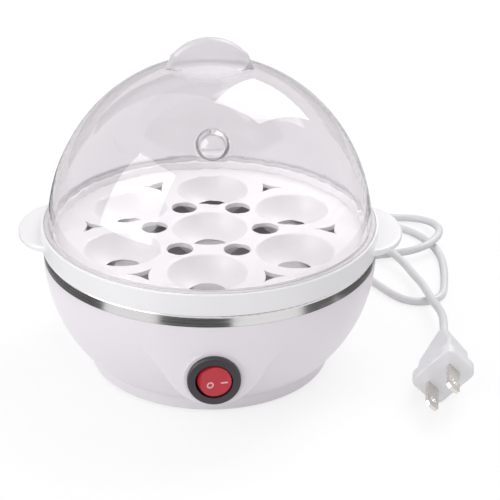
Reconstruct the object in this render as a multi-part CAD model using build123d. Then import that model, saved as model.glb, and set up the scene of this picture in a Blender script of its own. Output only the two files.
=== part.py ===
from build123d import *
import os
from math import asin, cos, degrees, isclose, radians, sin, sqrt, tan

# Electric egg cooker: white bowl base with a steel water pan, a lift-out egg tray and a clear lid.
# Millimetres, +Z up, origin on the bowl's axis at the surface it stands on, front (switch) towards -Y.

# Base bowl
shell_top_radius = 75.3
shell_top_height = 53.3
shell_wall = 2.2
bowl_curve_radius = 66.5
neck_height = 4.8
neck_wall = 2.2
neck_bevel = 0.6
foot_edge_height = 1.2
foot_ring_height = 7.8
foot_step = 1.2
foot_taper = 0.8
foot_wall = 2.4

# Switch panel on the bowl
apron_inset = 1.5
apron_wall = 2.2
apron_bottom_height = 15.5
apron_corner_radius = 16.0
apron_flank_angle = 46.0
apron_top_margin = 5.0
apron_edge_round = 1.6
boss_margin = 1.4
boss_rise = 0.4
switch_height = 28.0

# Screw posts and bottom cover
post_radius = 4.0
post_height = 10.0
post_inset = 3.4
post_rib_width = 1.6
pilot_radius = 1.1
post_count = 3
post_first_angle = 30.0
cover_height = 2.2
cover_thickness = 2.0
cover_gap = 0.4
screw_hole_radius = 1.8
screw_radius = 1.05
screw_length = 8.0
screw_head_radius = 2.8
screw_head_height = 1.5
slot_count = 8
slot_length = 14.0
slot_width = 2.4
slot_margin = 4.5
foot_pad_radius = 5.5
foot_pad_taper = 0.6
foot_pad_inset = 8.9
foot_pad_count = 4
foot_pad_first_angle = 45.0

# Steel water pan
pan_sheet = 0.6
pan_skirt_gap = 0.1
pan_rim_width = 4.7
pan_wall_height = 4.2
pan_floor_margin = 12.0
pan_depth = 16.2
pan_rim_bend = 1.2
pan_lip_bend = 1.5
pan_shoulder_bend = 4.0
pan_floor_bend = 6.0
stud_radius = 2.0
stud_end = 0.8
stud_margin = 8.0
stud_count = 3
stud_first_angle = 90.0

# Heater under the pan
heater_plate_margin = 8.0
heater_plate_thickness = 4.6
heater_tube_radius = 3.0
heater_ring_margin = 12.0
heater_groove_gap = 0.1
heater_gap_angle = 50.0
heater_leg_lead = 0.5
heater_leg_bend = 6.0
heater_leg_length = 4.0
heater_pin_radius = 1.2
heater_pin_length = 6.0
clamp_inset = 2.0
clamp_thickness = 1.0
notch_side_gap = 2.4
notch_ring_gap = 5.0
stud_hole_gap = 0.3
nut_radius = 3.5
nut_height = 3.2
nut_gap = 0.05
thermostat_cap_radius = 8.0
thermostat_flange_radius = 12.0
thermostat_flange_thickness = 1.4
thermostat_body_radius = 7.5
thermostat_body_length = 8.0
thermostat_hole_gap = 0.4
tab_length = 7.0
tab_width = 5.0
tab_thickness = 0.8
fuse_radius = 2.6
fuse_length = 18.0
fuse_margin = 6.0
fuse_gap = 0.1
clip_length = 6.0
clip_wall = 0.9

# Round rocker switch
bezel_lap = 1.45
switch_wall = 1.95
bezel_thickness = 2.2
bezel_round = 0.9
switch_body_radius = 9.85
switch_hole_gap = 0.3
contact_floor_gap = 3.1
switch_floor = 1.6
barb_length = 3.0
barb_rise = 0.7
barb_width = 5.0
barb_gap = 0.2
rocker_gap = 0.4
rocker_top_inset = 0.9
rocker_rise = 3.0
rocker_skirt = 1.0
rocker_dish_depth = 0.9
rocker_pivot_depth = 1.5
rocker_swing = 20.0
pin_radius = 1.0
pin_reach = 0.9
pin_gap = 0.05
stem_radius = 2.4
stem_length = 5.0
plunger_radius = 1.2
plunger_gap = 0.05
plunger_reach = 7.2
spring_length = 3.4
spring_wall = 0.35
contact_end_gap = 1.4
contact_width = 4.0
contact_thickness = 0.6
contact_tilt = 6.0
contact_clearance = 0.6
contact_gap = 0.15
terminal_width = 4.8
terminal_thickness = 0.8
terminal_reach = 8.0
terminal_inset = 2.4
terminal_slot_gap = 0.05
lamp_radius = 1.6
lamp_length = 6.0
lamp_wall_gap = 0.7

# Cord bushing in the rear wall
cord_height = 16.0
cord_radius = 2.0
cord_stub = 12.0
pad_wall = 3.3
pad_rise = 0.5
pad_inner_gap = 0.3
bushing_sleeve = 2.0
bushing_hole_gap = 0.2
bushing_flange_inset = 1.0
bushing_flange_thickness = 2.0
bushing_catch_lap = 1.4
bushing_catch_thickness = 2.0
bushing_root_step = 1.3
bushing_tip_wall = 1.0
bushing_tail_length = 25.0

# Wire leads inside the bowl
lead_radius = 1.2
lead_bend = 5.0
lead_floor_gap = 7.8
lead_post_gap = 5.7
lead_drop = 9.0
lead_stub = 6.0
core_spread = 1.6
lead_arc_share = 0.45
wire_near_share = 0.7
wire_far_share = 0.45

# Egg tray
tray_overhang = 0.7
tray_wall = 1.6
tray_rim_height = 9.8
tray_lip_wall = 1.1
tray_skirt_wall = 2.8
tray_lip_height = 2.0
tray_ledge = 6.0
tray_plate_drop = 3.5
tray_plate_thickness = 2.0
tray_spigot_gap = 0.7
tray_spigot_depth = 5.5
tray_edge_round = 0.5
tray_turn = -2.8
cup_margin = 9.4
cup_land = 4.8
egg_count = 6
cup_hole_radius = 8.2
cup_depth = 9.7
cup_wall = 1.8
cup_lip_round = 1.2
steam_hole_radius = 6.0
star_margin = 16.0
star_hole_radius = 6.8
star_hole_hollow = 1.1
ear_count = 2
ear_reach = 10.7
ear_half_width = 24.0
ear_root = 6.0
ear_thickness = 3.0
ear_drop = 4.5
ear_round = 1.0

# Clear lid
lid_inset = 3.0
lid_rise = 77.7
lid_spring_drop = 2.8
lid_wall = 2.0
lid_lip_gap = 0.5
lid_flange_thickness = 2.0
fin_half_width = 19.6
fin_half_height = 18.0
fin_top_rise = 11.0
fin_thickness = 5.6
fin_round = 2.0
fin_flare = 3.6
fin_flare_radius = 5.5
fin_sink = 1.5
vent_radius = 7.3
vent_wall = 1.8
vent_inset = 26.5
vent_sink = 2.1
vent_hole_radius = 1.5

# Plug on the cord
plug_width = 24.6
plug_depth = 17.8
plug_corner = 4.0
plug_flange = 6.0
plug_flange_round = 1.2
plug_step = 1.6
plug_shoulder_step = 1.2
plug_shoulder_reach = 18.0
plug_length = 38.0
plug_neck_wall = 1.2
plug_neck_flat = 0.1
plug_x = 100.8
plug_y = -51.2
plug_yaw = 10.4
plug_roll = 49.0
blade_spacing = 12.7
blade_width = 6.35
blade_thickness = 1.5
blade_length = 17.5
blade_hole_radius = 1.6
blade_hole_reach = 11.7
blade_tip = 1.4

# Cord over the table
cord_arc_share = 0.45

floor_gap = 0.1
overrun = 5.0

# Heights and radii that follow from the sizes above
on_floor = (Align.CENTER, Align.CENTER, Align.MIN)
bowl_centre_radius = shell_top_radius - bowl_curve_radius
apron_radius = shell_top_radius - apron_inset
neck_top = shell_top_height + neck_height
pan_rim_height = neck_top + pan_sheet
pan_floor_height = pan_rim_height - pan_depth
pan_underside = pan_floor_height - pan_sheet
neck_radius = shell_top_radius - pan_sheet - pan_skirt_gap
pan_mouth_radius = shell_top_radius - pan_rim_width
stud_circle_radius = thermostat_flange_radius + stud_margin
heater_ring_radius = stud_circle_radius + heater_ring_margin
heater_plate_radius = heater_ring_radius + heater_plate_margin
clamp_radius = heater_plate_radius - clamp_inset
pan_floor_radius = heater_plate_radius + pan_floor_margin
fuse_offset = stud_circle_radius + fuse_margin
stud_length = heater_plate_thickness + heater_tube_radius + clamp_thickness + nut_height + stud_end
tray_radius = shell_top_radius + tray_overhang
tray_inner_radius = tray_radius - tray_ledge
cup_lip_radius = (tray_inner_radius - cup_margin - 2 * cup_land) / 3
egg_pitch = 2 * (cup_lip_radius + cup_land)
star_hole_circle = tray_inner_radius - star_margin
tray_lip_top = pan_rim_height + tray_rim_height
tray_seat = tray_lip_top - tray_lip_height
tray_plate_top = tray_seat - tray_plate_drop
lid_half_width = tray_radius - lid_inset
vent_circle = lid_half_width - vent_inset
lid_centre_height = tray_seat - lid_spring_drop
lid_apex = lid_centre_height + lid_rise
panel_face = apron_radius + boss_rise
bezel_radius = switch_body_radius + bezel_lap
bezel_opening_radius = switch_body_radius - switch_wall
boss_radius = bezel_radius + boss_margin
contact_depth = rocker_pivot_depth + plunger_reach + contact_clearance
cavity_floor = contact_depth + contact_floor_gap
switch_body_depth = cavity_floor + switch_floor
bushing_neck_radius = cord_radius + bushing_sleeve
bushing_hole_radius = bushing_neck_radius + bushing_hole_gap
bushing_catch_radius = bushing_neck_radius + bushing_catch_lap
pad_radius = bushing_hole_radius + pad_wall
bushing_flange_radius = pad_radius - bushing_flange_inset
bushing_root_radius = bushing_flange_radius - bushing_root_step
bushing_tip_radius = cord_radius + bushing_tip_wall


def bowl_radius(height, inset=0.0):
    """Radius of the bowl's wall at a height, measured on a surface that lies inset inside the outer one."""
    return bowl_centre_radius + sqrt((bowl_curve_radius - inset) ** 2 - (shell_top_height - height) ** 2)


def bowl_height(radius, inset=0.0):
    """Height at which the bowl's wall has a given radius."""
    return shell_top_height - sqrt((bowl_curve_radius - inset) ** 2 - (radius - bowl_centre_radius) ** 2)


def bowl_arc(low, high, inset=0.0):
    """Arc of the bowl's section from one height to another."""
    middle = (low + high) / 2
    ends = [(bowl_radius(height, inset), height) for height in (low, middle, high)]
    return ThreePointArc(*ends)


def turned(lines):
    """Solid of revolution about the axis from a closed outline of radius and height."""
    return revolve(Plane.XZ * make_face(lines), axis=Axis.Z)


def ring_places(count, radius, first_angle):
    """Places spread evenly on a circle about the axis."""
    angles = [radians(first_angle + 360 * step / count) for step in range(count)]
    return [(radius * cos(angle), radius * sin(angle)) for angle in angles]


def around(count, solid):
    """Copies of a solid turned evenly about the axis."""
    return [Rot(0, 0, 360 * step / count) * solid for step in range(count)]


def upright(radius, low, high, place=(0, 0)):
    """Round bar along +Z between two heights."""
    return extrude(Plane((place[0], place[1], low)) * Circle(radius), amount=high - low)


foot_top_radius = bowl_radius(foot_ring_height) - foot_step
foot_low_radius = foot_top_radius - foot_taper
foot_inner_radius = foot_low_radius - foot_wall
neck_inner_radius = neck_radius - neck_wall
post_circle = foot_inner_radius - post_inset
cover_top = cover_height + cover_thickness
cover_radius = foot_inner_radius - cover_gap
foot_pad_circle = foot_inner_radius - foot_pad_inset
slot_circle_radius = foot_pad_circle - foot_pad_radius - slot_margin - slot_length / 2
lead_run_height = cover_top + lead_floor_gap
lead_side = post_circle * cos(radians(post_first_angle)) - post_radius - lead_radius - lead_post_gap
post_places = ring_places(post_count, post_circle, post_first_angle)
stud_places = ring_places(stud_count, stud_circle_radius, stud_first_angle)
panel = Plane(origin=(0, -panel_face, switch_height), x_dir=(1, 0, 0), z_dir=(0, -1, 0))
pad_face = bowl_radius(cord_height + pad_radius) + pad_rise
pad_back = bowl_radius(cord_height - bushing_catch_radius, shell_wall) - pad_inner_gap


def rear_bar(radius, start, end):
    """Round bar along +Y at the cord's height, between two distances behind the axis."""
    plane = Plane(origin=(0, start, cord_height), x_dir=(1, 0, 0), z_dir=(0, 1, 0))
    return extrude(plane * Circle(radius), amount=end - start)


def apron_prism(inset):
    """Block under the rounded V that outlines the switch panel, reaching forward from the axis."""
    slope = radians(apron_flank_angle)
    corner = apron_corner_radius - inset
    point = apron_bottom_height + inset - corner * (1 / cos(slope) - 1)
    top = bowl_height(apron_radius) + apron_top_margin
    half = (top - point) / tan(slope)
    outline = make_face(Polyline((-half, top), (0, point), (half, top), (-half, top)))
    outline = fillet(outline.vertices().sort_by(Axis.Y)[0], corner)
    return extrude(Plane.XZ * outline, amount=panel_face + overrun)


def base_shell():
    """White moulded bowl with its foot ring, switch panel, screw posts and cord pad."""
    inner_low = bowl_height(foot_inner_radius, shell_wall)
    inner_high = bowl_height(neck_inner_radius, shell_wall)
    foot_corner = (foot_top_radius, foot_ring_height)
    bowl_corner = (bowl_radius(foot_ring_height), foot_ring_height)
    shell = turned([
        Line((foot_low_radius, foot_edge_height), foot_corner),
        Line(foot_corner, bowl_corner),
        bowl_arc(foot_ring_height, shell_top_height),
        Polyline((shell_top_radius, shell_top_height), (neck_radius, shell_top_height),
                 (neck_radius, neck_top - neck_bevel), (neck_radius - neck_bevel, neck_top),
                 (neck_inner_radius, neck_top), (neck_inner_radius, inner_high)),
        bowl_arc(inner_high, inner_low, shell_wall),
        Polyline((foot_inner_radius, inner_low), (foot_inner_radius, foot_edge_height),
                 (foot_low_radius, foot_edge_height)),
    ])
    filled_bowl = turned([
        Polyline((0, shell_top_height), (0, foot_ring_height), bowl_corner),
        bowl_arc(foot_ring_height, shell_top_height),
        Line((shell_top_radius, shell_top_height), (0, shell_top_height)),
    ])
    hollow_bowl = turned([
        Polyline((0, inner_high), (0, inner_low), (foot_inner_radius, inner_low)),
        bowl_arc(inner_low, inner_high, shell_wall),
        Line((neck_inner_radius, inner_high), (0, inner_high)),
    ])
    front = apron_prism(0) & upright(apron_radius, 0, shell_top_height)
    panel_side = front.faces().sort_by(Axis.Y)[0]
    front = fillet(panel_side.edges() - panel_side.edges().group_by(Axis.Z)[-1], apron_edge_round)
    boss = extrude(panel * Circle(boss_radius), amount=-(boss_rise + apron_wall))
    shell += (front - filled_bowl) + (boss - filled_bowl)
    shell -= apron_prism(apron_wall) & upright(apron_radius - apron_wall, 0, shell_top_height)
    shell -= extrude(panel * Circle(boss_radius), amount=overrun)
    hole_radius = switch_body_radius + switch_hole_gap
    shell -= extrude(panel * Circle(hole_radius), amount=-(boss_rise + apron_wall + overrun))
    post_top = cover_top + post_height
    posts = Part() + [upright(post_radius, cover_top, post_top, place) for place in post_places]
    rib_reach = foot_inner_radius + foot_wall / 2 - post_circle
    rib = Rectangle(rib_reach, post_rib_width, align=(Align.MIN, Align.CENTER))
    rib = extrude(Plane((post_circle, 0, cover_top)) * rib, amount=post_height)
    shell += posts + [Rot(0, 0, post_first_angle) * turn for turn in around(post_count, rib)]
    shell -= [upright(pilot_radius, cover_top, post_top, place) for place in post_places]
    shell += rear_bar(pad_radius, pad_back, pad_face)
    shell -= rear_bar(bushing_hole_radius, pad_back - overrun, pad_face + overrun)
    return shell


def water_pan():
    """Deep-drawn steel pan whose rolled rim caps the bowl's edge, with studs for the heater below it."""
    top_line = FilletPolyline(
        (shell_top_radius, shell_top_height + pan_skirt_gap),
        (shell_top_radius, pan_rim_height),
        (pan_mouth_radius, pan_rim_height),
        (pan_mouth_radius, pan_rim_height - pan_wall_height),
        (pan_floor_radius, pan_floor_height),
        (0, pan_floor_height),
        radius=[pan_rim_bend, pan_lip_bend, pan_shoulder_bend, pan_floor_bend],
    )
    sheet = make_face(offset(top_line, amount=pan_sheet, side=Side.LEFT))
    pan = revolve(Plane.XZ * sheet, axis=Axis.Z)
    stud_low = pan_underside - stud_length
    return pan + [upright(stud_radius, stud_low, pan_underside, place) for place in stud_places]


plate_low = pan_underside - heater_plate_thickness
clamp_top = plate_low - heater_tube_radius
clamp_low = clamp_top - clamp_thickness


def heater_plate():
    """Aluminium spreader under the pan, grooved for the heater tube."""
    plate = upright(heater_plate_radius, plate_low, pan_underside)
    groove = heater_tube_radius + heater_groove_gap
    plate -= revolve(Plane.XZ * Pos(heater_ring_radius, plate_low) * Circle(groove), axis=Axis.Z)
    holes = [upright(stud_radius + stud_hole_gap, plate_low, pan_underside, place) for place in stud_places]
    return plate - holes


def heater_leg(side):
    """Path of one end of the heater: off the ring at the edge of its gap, then down."""
    angle = radians(90 + side * heater_gap_angle / 2)
    start = Vector(heater_ring_radius * cos(angle), heater_ring_radius * sin(angle), plate_low)
    tangent = Vector(side * sin(angle), -side * cos(angle), 0)
    turn = start + tangent * (heater_leg_lead + heater_leg_bend)
    foot = turn - Vector(0, 0, heater_leg_bend + heater_leg_length)
    return FilletPolyline(start, turn, foot, radius=heater_leg_bend), Plane(origin=start, z_dir=tangent), foot


def heater_tube():
    """Sheathed heater tube, a ring open at the rear with both ends turned down."""
    ring = Plane.XZ * Pos(heater_ring_radius, plate_low) * Circle(heater_tube_radius)
    tube = revolve(ring, axis=Axis.Z, revolution_arc=360 - heater_gap_angle)
    tube = Rot(0, 0, 90 + heater_gap_angle / 2) * tube
    for side in (-1, 1):
        path, plane = heater_leg(side)[:2]
        tube += sweep(plane * Circle(heater_tube_radius), path=path)
    return tube


def heater_pins():
    """Cold pins that stand out of the two ends of the heater tube."""
    feet = [heater_leg(side)[2] for side in (-1, 1)]
    low = feet[0].Z - heater_pin_length
    return Part() + [upright(heater_pin_radius, low, foot.Z, (foot.X, foot.Y)) for foot in feet]


def clamp_plate():
    """Steel plate that holds the tube, the spreader and the thermostat up against the pan."""
    plate = upright(clamp_radius, clamp_low, clamp_top)
    plate -= upright(thermostat_body_radius + thermostat_hole_gap, clamp_low, clamp_top)
    plate -= [upright(stud_radius + stud_hole_gap, clamp_low, clamp_top, place) for place in stud_places]
    notch_width = 2 * (abs(heater_leg(1)[2].X) + heater_tube_radius + notch_side_gap)
    notch_reach = heater_ring_radius - heater_tube_radius - notch_ring_gap
    notch = Rectangle(notch_width, clamp_radius, align=(Align.CENTER, Align.MIN))
    plate -= extrude(Plane((0, notch_reach, clamp_low)) * notch, amount=clamp_thickness)
    clip_height = 2 * (fuse_radius + fuse_gap) + clip_wall
    clip_width = clip_height + clip_wall
    clip = Plane((0, -fuse_offset, clamp_low)) * Rectangle(clip_length, clip_width)
    plate += extrude(clip, amount=-clip_height)
    return plate - fuse_bar(fuse_radius + fuse_gap)


def fuse_bar(radius):
    """Round bar along X under the clamp plate, where the thermal fuse lies."""
    height = clamp_low - fuse_radius - fuse_gap
    plane = Plane(origin=(-fuse_length / 2, -fuse_offset, height), x_dir=(0, 1, 0), z_dir=(1, 0, 0))
    return extrude(plane * Circle(radius), amount=fuse_length)


def thermal_fuse():
    """Thermal fuse in its sleeve."""
    return fuse_bar(fuse_radius)


def clamp_nuts():
    """Nuts on the pan's studs, under the clamp plate."""
    nuts = Part()
    for place in stud_places:
        nut = Plane((place[0], place[1], clamp_low)) * RegularPolygon(nut_radius, side_count=6)
        nuts += extrude(nut, amount=-nut_height)
    bore = stud_radius + nut_gap
    return nuts - [upright(bore, clamp_low - nut_height, clamp_low, place) for place in stud_places]


tab_height = clamp_top - thermostat_body_length + tab_thickness
tab_tip = thermostat_body_radius + tab_length


def thermostat():
    """Bimetal thermostat, its cap against the spreader and its flange on the clamp plate."""
    flange_top = clamp_top + thermostat_flange_thickness
    body = upright(thermostat_cap_radius, flange_top, plate_low)
    body += upright(thermostat_flange_radius, clamp_top, flange_top)
    body += upright(thermostat_body_radius, clamp_top - thermostat_body_length, clamp_top)
    tabs = Plane((0, 0, tab_height)) * Rectangle(2 * tab_tip, tab_width)
    return body + extrude(tabs, amount=-tab_thickness)


def bottom_cover():
    """Round plate that closes the foot ring, with vent slots and screw holes."""
    cover = upright(cover_radius, cover_height, cover_top)
    cover -= [upright(screw_hole_radius, cover_height, cover_top, place) for place in post_places]
    slot = Plane((slot_circle_radius, 0, cover_height)) * SlotOverall(slot_length, slot_width)
    return cover - around(slot_count, extrude(slot, amount=cover_thickness))


def cover_screws():
    """Pan-head screws up through the cover into the posts."""
    screws = Part()
    for place in post_places:
        screws += upright(screw_head_radius, cover_height - screw_head_height, cover_height, place)
        screws += upright(screw_radius, cover_height, cover_height + screw_length, place)
    return screws


def feet():
    """Rubber pads under the cover."""
    pads = Part()
    for place in ring_places(foot_pad_count, foot_pad_circle, foot_pad_first_angle):
        pad = Cone(foot_pad_radius - foot_pad_taper, foot_pad_radius, cover_height, align=on_floor)
        pads += Pos(place[0], place[1], 0) * pad
    return pads


# Switch pieces are drawn on the panel: x to the right, y up, z outwards
rocker_radius = bezel_opening_radius - rocker_gap
terminal_spacing = bezel_opening_radius - terminal_inset
contact_length = 2 * (bezel_opening_radius - contact_end_gap)
lamp_offset = bezel_opening_radius - lamp_radius - lamp_wall_gap
contact_stop = contact_depth + contact_thickness / 2 / cos(radians(contact_tilt)) \
    + terminal_spacing * tan(radians(contact_tilt)) + contact_gap
terminal_tops = {
    -1: contact_stop,
    0: contact_depth + contact_thickness / 2 + contact_gap,
    1: cavity_floor,
}
terminal_end = panel_face - switch_body_depth - terminal_reach


def panel_bar(radius, low, high, place=(0, 0)):
    """Round bar along the panel's normal."""
    return extrude(Plane((place[0], place[1], low)) * Circle(radius), amount=high - low)


def pivot_bar(radius, reach):
    """Round bar along the rocker's upright pivot axis."""
    plane = Plane(origin=(0, -reach, -rocker_pivot_depth), x_dir=(1, 0, 0), z_dir=(0, 1, 0))
    return extrude(plane * Circle(radius), amount=2 * reach)


def terminal_block(side, grow, low, high):
    """Upright terminal blade at one of the three places across the switch."""
    shape = Rectangle(terminal_thickness + 2 * grow, terminal_width + 2 * grow)
    return extrude(Plane((side * terminal_spacing, 0, low)) * shape, amount=high - low)


def switch_housing():
    """Black housing with its round bezel and the two barbs that catch behind the panel."""
    bezel = panel_bar(bezel_radius, 0, bezel_thickness)
    bezel = fillet(bezel.edges().group_by(Axis.Z)[-1], bezel_round)
    body = bezel + panel_bar(switch_body_radius, -switch_body_depth, 0)
    inner_face = sqrt((apron_radius - apron_wall) ** 2 - (switch_body_radius + barb_rise) ** 2)
    barb_top = inner_face - panel_face - barb_gap
    barb = Plane((0, 0, barb_top)) * Rectangle(2 * (switch_body_radius + barb_rise), barb_width)
    body += extrude(barb, amount=-barb_length)
    body -= panel_bar(bezel_opening_radius, -cavity_floor, bezel_thickness)
    body -= pivot_bar(pin_radius + pin_gap, bezel_opening_radius + pin_reach + pin_gap)
    for side in terminal_tops:
        body -= terminal_block(side, terminal_slot_gap, -switch_body_depth, -cavity_floor)
    return panel.location * body


def switch_terminals():
    """Brass blades: lamp, common and switched side."""
    low = -switch_body_depth - terminal_reach
    blades = [terminal_block(side, 0, low, -top) for side, top in terminal_tops.items()]
    return panel.location * (Part() + blades)


def neon_lamp():
    """Indicator lamp standing on the housing's floor above the contact."""
    lamp = panel_bar(lamp_radius, -cavity_floor, lamp_length - cavity_floor, (0, lamp_offset))
    return panel.location * lamp


def at_on(solid):
    """Turn a rocker piece from mid travel to its on position, right side pressed in."""
    pivot = Pos(0, 0, -rocker_pivot_depth)
    return panel.location * (pivot * Rot(0, rocker_swing / 2, 0) * Pos(0, 0, rocker_pivot_depth) * solid)


def rocker():
    """Red rocker with a dished face, pivot pins and the stem that carries the plunger."""
    top_radius = rocker_radius - rocker_top_inset
    body = panel_bar(rocker_radius, -rocker_skirt, 0)
    body += Cone(rocker_radius, top_radius, rocker_rise, align=on_floor)
    dish_radius = (top_radius ** 2 + rocker_dish_depth ** 2) / (2 * rocker_dish_depth)
    dish_height = rocker_rise - rocker_dish_depth + dish_radius
    dish = Plane(origin=(0, -rocker_radius, dish_height), x_dir=(1, 0, 0), z_dir=(0, 1, 0))
    body -= extrude(dish * Circle(dish_radius), amount=2 * rocker_radius)
    body += pivot_bar(pin_radius, bezel_opening_radius + pin_reach)
    body += panel_bar(stem_radius, -rocker_skirt - stem_length, -rocker_skirt)
    body -= panel_bar(plunger_radius + plunger_gap, -rocker_skirt - stem_length, -rocker_skirt)
    return at_on(body)


def rocker_plunger():
    """Round-nosed plunger in the rocker's stem."""
    tip = rocker_pivot_depth + plunger_reach
    body = panel_bar(plunger_radius, plunger_radius - tip, -rocker_skirt - spring_length)
    return at_on(body + Pos(0, 0, plunger_radius - tip) * Sphere(plunger_radius))


def rocker_spring():
    """Plunger spring in the stem's bore, drawn as the sleeve that its coils fill."""
    low = -rocker_skirt - spring_length
    sleeve = panel_bar(plunger_radius, low, -rocker_skirt)
    return at_on(sleeve - panel_bar(plunger_radius - spring_wall, low, -rocker_skirt))


def contact_bar():
    """Brass see-saw contact, tipped to its closed side."""
    bar = Box(contact_length, contact_width, contact_thickness)
    return panel.location * (Pos(0, 0, -contact_depth) * Rot(0, -contact_tilt, 0) * bar)


cord_in = pad_back - bushing_catch_thickness
cord_exit = pad_face + bushing_flange_thickness + bushing_tail_length


def cord_bushing():
    """Soft bushing that grips the cord in the rear wall, with a tapered tail."""
    flange_end = pad_face + bushing_flange_thickness
    body = rear_bar(bushing_neck_radius, pad_back, pad_face)
    body += rear_bar(bushing_catch_radius, cord_in, pad_back)
    body += rear_bar(bushing_flange_radius, pad_face, flange_end)
    tail = Cone(bushing_root_radius, bushing_tip_radius, bushing_tail_length, align=on_floor)
    plane = Plane(origin=(0, flange_end, cord_height), x_dir=(1, 0, 0), z_dir=(0, 1, 0))
    return body + plane.location * tail


def bend_radii(points, share):
    """Largest bend at each inner point of a route whose arcs take up a share of the shorter run beside it."""
    runs = [Vector(*b) - Vector(*a) for a, b in zip(points, points[1:])]
    turns = [radians(before.get_angle(after)) for before, after in zip(runs, runs[1:])]
    return [share * min(a.length, b.length) / tan(turn / 2) for a, b, turn in zip(runs, runs[1:], turns)]


def flex(points, radii, radius):
    """Round wire along straight runs joined by arcs."""
    path = FilletPolyline(*points, radius=radii)
    plane = Plane(origin=points[0], z_dir=Vector(*points[1]) - Vector(*points[0]))
    return sweep(plane * Circle(radius), path=path)


def lead(points):
    """Insulated wire along a bent route."""
    radii = [min(lead_bend, radius) for radius in bend_radii(points, lead_arc_share)]
    return flex(points, radii, lead_radius)


fuse_height = clamp_low - fuse_radius - fuse_gap
fuse_end = fuse_length / 2
terminal_rear = -terminal_end
pin_foot = heater_leg(1)[2]
pin_low = pin_foot.Z - heater_pin_length
tab_level = tab_height - tab_thickness / 2


def lead_live():
    """Wire from the cord to the switch's common blade."""
    return lead([
        (core_spread, cord_in, cord_height),
        (core_spread, cord_in - lead_stub, cord_height),
        (lead_side, cord_in * wire_near_share, lead_run_height),
        (lead_side, terminal_rear * wire_far_share, lead_run_height),
        (0, terminal_rear + lead_drop, switch_height),
        (0, terminal_rear, switch_height),
    ])


def lead_neutral():
    """Wire from the cord to one heater pin."""
    return lead([
        (-core_spread, cord_in, cord_height),
        (-core_spread, cord_in - lead_stub, cord_height),
        (pin_foot.X, pin_foot.Y + lead_drop, lead_run_height),
        (pin_foot.X, pin_foot.Y, lead_run_height),
        (pin_foot.X, pin_foot.Y, pin_low),
    ])


def lead_switched():
    """Wire from the switch's switched blade to the thermal fuse."""
    return lead([
        (-terminal_spacing, terminal_rear, switch_height),
        (-terminal_spacing, terminal_rear + lead_stub, switch_height),
        (-terminal_spacing - lead_drop, terminal_rear + lead_stub + lead_drop, switch_height - lead_drop / 2),
        (-fuse_end - lead_drop, -fuse_offset, fuse_height),
        (-fuse_end, -fuse_offset, fuse_height),
    ])


def lead_fuse():
    """Wire from the thermal fuse to the thermostat."""
    return lead([
        (fuse_end, -fuse_offset, fuse_height),
        (fuse_end + lead_drop, -fuse_offset, fuse_height),
        (tab_tip + lead_drop, -fuse_offset / 2, tab_level),
        (tab_tip + lead_drop, 0, tab_level),
        (tab_tip, 0, tab_level),
    ])


def lead_heater():
    """Wire from the thermostat to the other heater pin."""
    return lead([
        (-tab_tip, 0, tab_level),
        (-tab_tip - lead_drop, 0, tab_level),
        (-tab_tip - lead_drop, pin_foot.Y - 2 * lead_drop, lead_run_height),
        (-pin_foot.X, pin_foot.Y, lead_run_height),
        (-pin_foot.X, pin_foot.Y, pin_low),
    ])


def egg_tray():
    """White tray with seven dished egg cups, steam holes, star holes and two ears."""
    seat_low = tray_seat - tray_wall
    plate_top = tray_plate_top
    plate_bottom = plate_top - tray_plate_thickness
    wall_outside = tray_inner_radius + tray_wall
    skirt_inside = tray_radius - tray_skirt_wall
    lip_inside = tray_radius - tray_lip_wall
    spigot_radius = pan_mouth_radius - tray_spigot_gap
    spigot_inside = spigot_radius - tray_wall
    spigot_low = plate_bottom - tray_spigot_depth
    outline = make_face(Polyline(
        (0, plate_bottom), (spigot_inside, plate_bottom), (spigot_inside, spigot_low),
        (spigot_radius, spigot_low), (spigot_radius, plate_bottom),
        (wall_outside, plate_bottom), (wall_outside, seat_low),
        (skirt_inside, seat_low), (skirt_inside, pan_rim_height), (tray_radius, pan_rim_height),
        (tray_radius, tray_lip_top), (lip_inside, tray_lip_top), (lip_inside, tray_seat),
        (tray_inner_radius, tray_seat), (tray_inner_radius, plate_top), (0, plate_top), (0, plate_bottom)))
    corners = [(tray_radius, pan_rim_height), (tray_radius, tray_lip_top), (tray_inner_radius, tray_seat)]
    soft_corners = [outline.vertices().sort_by_distance(corner)[0] for corner in corners]
    outline = fillet(soft_corners, tray_edge_round)
    tray = revolve(Plane.XZ * outline, axis=Axis.Z)
    cup_places = [(0, 0)] + ring_places(egg_count, egg_pitch, 90)
    cup_rise = ((cup_lip_radius ** 2 - cup_hole_radius ** 2) / cup_depth - cup_depth) / 2
    cup_radius = sqrt(cup_lip_radius ** 2 + cup_rise ** 2)
    cup_low = plate_top - cup_depth
    balls = [Pos(x, y, plate_top + cup_rise) * Sphere(cup_radius) for x, y in cup_places]
    slab = upright(cup_lip_radius + 2 * cup_wall, cup_low, plate_top)
    shell = Pos(0, 0, plate_top + cup_rise) * Sphere(cup_radius + cup_wall) & slab
    tray += [Pos(x, y, 0) * shell for x, y in cup_places]
    tray -= balls
    rings = tray.edges().filter_by(GeomType.CIRCLE)
    tray = fillet(rings.filter_by(lambda ring: isclose(ring.radius, cup_lip_radius)), cup_lip_round)
    steam_places = ring_places(egg_count, egg_pitch / sqrt(3), 0)
    tray -= [upright(steam_hole_radius, plate_bottom, plate_top, place) for place in steam_places]
    star = Plane((star_hole_circle, 0, plate_bottom)) * star_outline()
    tray -= around(egg_count, extrude(star, amount=tray_plate_thickness))
    tray += around(ear_count, ear())
    return Rot(0, 0, tray_turn) * tray


def star_outline():
    """Three-pointed hole with hollow sides, one point towards the tray's centre."""
    points = ring_places(3, star_hole_radius, 180)
    middles = ring_places(3, star_hole_radius / 2 - star_hole_hollow, 240)
    sides = [ThreePointArc(points[i], middles[i], points[(i + 1) % 3]) for i in range(3)]
    return make_face(sides)


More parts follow.
